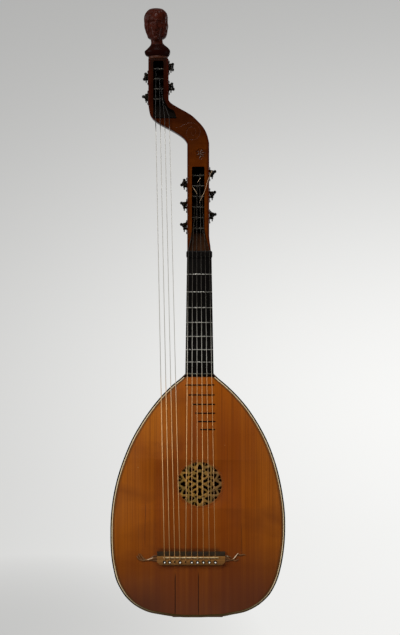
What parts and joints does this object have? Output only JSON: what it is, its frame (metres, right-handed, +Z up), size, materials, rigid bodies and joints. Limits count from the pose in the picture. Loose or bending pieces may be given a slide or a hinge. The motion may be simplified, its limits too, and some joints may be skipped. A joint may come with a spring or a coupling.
{
  "type": "theorbo lute",
  "caption": "Plucked string instrument with a ribbed pear-shaped body, fretted neck, free bass strings on a swan-neck extension, geared tuners and a carved head.",
  "frame": {"origin": "on the flat pad under the tail of the body, where the instrument rests when it is stood upright", "axes": "+Z runs up from the tail along the strings to the carved head, -Y points out of the front of the soundboard, +X is the side of the thinnest string"},
  "size_m": [0.3589, 0.1759, 1.2522],
  "materials": {
    "spruce": "aged orange-brown varnish, fine straight grain",
    "inner_spruce": "bare wood",
    "rose_wood": "matt carved tracery, dusty olive brown",
    "binding": "dark outer line, pale line inside",
    "maple": "red-brown varnish, satin gloss",
    "dark_maple": "dark red-brown varnish",
    "ebony": "polished black",
    "walnut": "worn satin",
    "bone": "polished bone",
    "brass": "tarnished",
    "steel": "dull",
    "black_button": "gloss black",
    "gut": "plain and overspun strings"
  },
  "bodies": {
    "instrument": {"soundboard": "spruce", "rose": "rose_wood", "edge_binding": "binding", "soundboard_bars": "inner_spruce", "tail_cap": "maple", "tail_block": "inner_spruce", "neck": "maple", "fingerboard": "ebony", "nut": "ebony", "bridge": "walnut", "saddle": "bone", "neck_extension": "maple", "carved_head": "dark_maple", "rib_1": "maple", "rib_2": "maple", "rib_3": "maple", "rib_4": "maple", "rib_5": "maple", "rib_6": "maple", "rib_7": "maple", "tuner_plate_1": "brass", "tuner_plate_2": "brass", "tuner_plate_3": "brass", "tuner_plate_4": "brass", "tuner_plate_5": "brass", "tuner_plate_6": "brass", "tuner_plate_7": "brass", "tuner_plate_8": "brass", "tuner_plate_9": "brass", "tuner_plate_10": "brass", "string_1": "gut", "string_2": "gut", "string_3": "gut", "string_4": "gut", "string_5": "gut", "string_6": "gut", "string_7": "gut", "string_8": "gut", "string_9": "gut", "string_10": "gut"},
    "button_1": {"tuner_button_1": "black_button"},
    "post_1": {"tuner_post_1": "steel"},
    "button_6": {"tuner_button_6": "black_button"},
    "post_6": {"tuner_post_6": "steel"},
    "button_5": {"tuner_button_5": "black_button"},
    "post_5": {"tuner_post_5": "steel"},
    "button_2": {"tuner_button_2": "black_button"},
    "post_2": {"tuner_post_2": "steel"},
    "button_4": {"tuner_button_4": "black_button"},
    "post_4": {"tuner_post_4": "steel"},
    "button_3": {"tuner_button_3": "black_button"},
    "post_3": {"tuner_post_3": "steel"},
    "button_7": {"tuner_button_7": "black_button"},
    "post_7": {"tuner_post_7": "steel"},
    "button_8": {"tuner_button_8": "black_button"},
    "post_8": {"tuner_post_8": "steel"},
    "button_9": {"tuner_button_9": "black_button"},
    "post_9": {"tuner_post_9": "steel"},
    "button_10": {"tuner_button_10": "black_button"},
    "post_10": {"tuner_post_10": "steel"}
  },
  "joints": [
    {"name": "button_1_turn", "type": "hinge", "parent": "instrument", "child": "button_1", "pos_m": [-0.0304, -0.002, 0.8065], "axis": [0, 1, 0], "continuous": true},
    {"name": "post_1_turn", "type": "hinge", "parent": "instrument", "child": "post_1", "pos_m": [-0.0242, -0.002, 0.7982], "axis": [1, 0, 0], "continuous": true},
    {"name": "button_6_turn", "type": "hinge", "parent": "instrument", "child": "button_6", "pos_m": [0.0271, -0.002, 0.8283], "axis": [0, 1, 0], "continuous": true},
    {"name": "post_6_turn", "type": "hinge", "parent": "instrument", "child": "post_6", "pos_m": [0.0209, -0.002, 0.82], "axis": [1, 0, 0], "continuous": true},
    {"name": "button_5_turn", "type": "hinge", "parent": "instrument", "child": "button_5", "pos_m": [-0.0304, -0.002, 0.8501], "axis": [0, 1, 0], "continuous": true},
    {"name": "post_5_turn", "type": "hinge", "parent": "instrument", "child": "post_5", "pos_m": [-0.0242, -0.002, 0.8418], "axis": [1, 0, 0], "continuous": true},
    {"name": "button_2_turn", "type": "hinge", "parent": "instrument", "child": "button_2", "pos_m": [0.0271, -0.002, 0.8719], "axis": [0, 1, 0], "continuous": true},
    {"name": "post_2_turn", "type": "hinge", "parent": "instrument", "child": "post_2", "pos_m": [0.0209, -0.002, 0.8636], "axis": [1, 0, 0], "continuous": true},
    {"name": "button_4_turn", "type": "hinge", "parent": "instrument", "child": "button_4", "pos_m": [-0.0304, -0.002, 0.8937], "axis": [0, 1, 0], "continuous": true},
    {"name": "post_4_turn", "type": "hinge", "parent": "instrument", "child": "post_4", "pos_m": [-0.0242, -0.002, 0.8854], "axis": [1, 0, 0], "continuous": true},
    {"name": "button_3_turn", "type": "hinge", "parent": "instrument", "child": "button_3", "pos_m": [0.0271, -0.002, 0.9155], "axis": [0, 1, 0], "continuous": true},
    {"name": "post_3_turn", "type": "hinge", "parent": "instrument", "child": "post_3", "pos_m": [0.0209, -0.002, 0.9072], "axis": [1, 0, 0], "continuous": true},
    {"name": "button_7_turn", "type": "hinge", "parent": "instrument", "child": "button_7", "pos_m": [-0.1089, -0.002, 1.0727], "axis": [0, 1, 0], "continuous": true},
    {"name": "post_7_turn", "type": "hinge", "parent": "instrument", "child": "post_7", "pos_m": [-0.1041, -0.002, 1.0644], "axis": [1, 0, 0], "continuous": true},
    {"name": "button_8_turn", "type": "hinge", "parent": "instrument", "child": "button_8", "pos_m": [-0.0579, -0.002, 1.0934], "axis": [0, 1, 0], "continuous": true},
    {"name": "post_8_turn", "type": "hinge", "parent": "instrument", "child": "post_8", "pos_m": [-0.0627, -0.002, 1.0851], "axis": [1, 0, 0], "continuous": true},
    {"name": "button_9_turn", "type": "hinge", "parent": "instrument", "child": "button_9", "pos_m": [-0.1089, -0.002, 1.1141], "axis": [0, 1, 0], "continuous": true},
    {"name": "post_9_turn", "type": "hinge", "parent": "instrument", "child": "post_9", "pos_m": [-0.1041, -0.002, 1.1058], "axis": [1, 0, 0], "continuous": true},
    {"name": "button_10_turn", "type": "hinge", "parent": "instrument", "child": "button_10", "pos_m": [-0.0579, -0.002, 1.1348], "axis": [0, 1, 0], "continuous": true},
    {"name": "post_10_turn", "type": "hinge", "parent": "instrument", "child": "post_10", "pos_m": [-0.0627, -0.002, 1.1265], "axis": [1, 0, 0], "continuous": true}
  ],
  "couplings": [
    {"joint": "post_1_turn", "follows": "button_1_turn", "ratio": 0.071429},
    {"joint": "post_6_turn", "follows": "button_6_turn", "ratio": 0.071429},
    {"joint": "post_5_turn", "follows": "button_5_turn", "ratio": 0.071429},
    {"joint": "post_2_turn", "follows": "button_2_turn", "ratio": 0.071429},
    {"joint": "post_4_turn", "follows": "button_4_turn", "ratio": 0.071429},
    {"joint": "post_3_turn", "follows": "button_3_turn", "ratio": 0.071429},
    {"joint": "post_7_turn", "follows": "button_7_turn", "ratio": 0.071429},
    {"joint": "post_8_turn", "follows": "button_8_turn", "ratio": 0.071429},
    {"joint": "post_9_turn", "follows": "button_9_turn", "ratio": 0.071429},
    {"joint": "post_10_turn", "follows": "button_10_turn", "ratio": 0.071429}
  ]
}
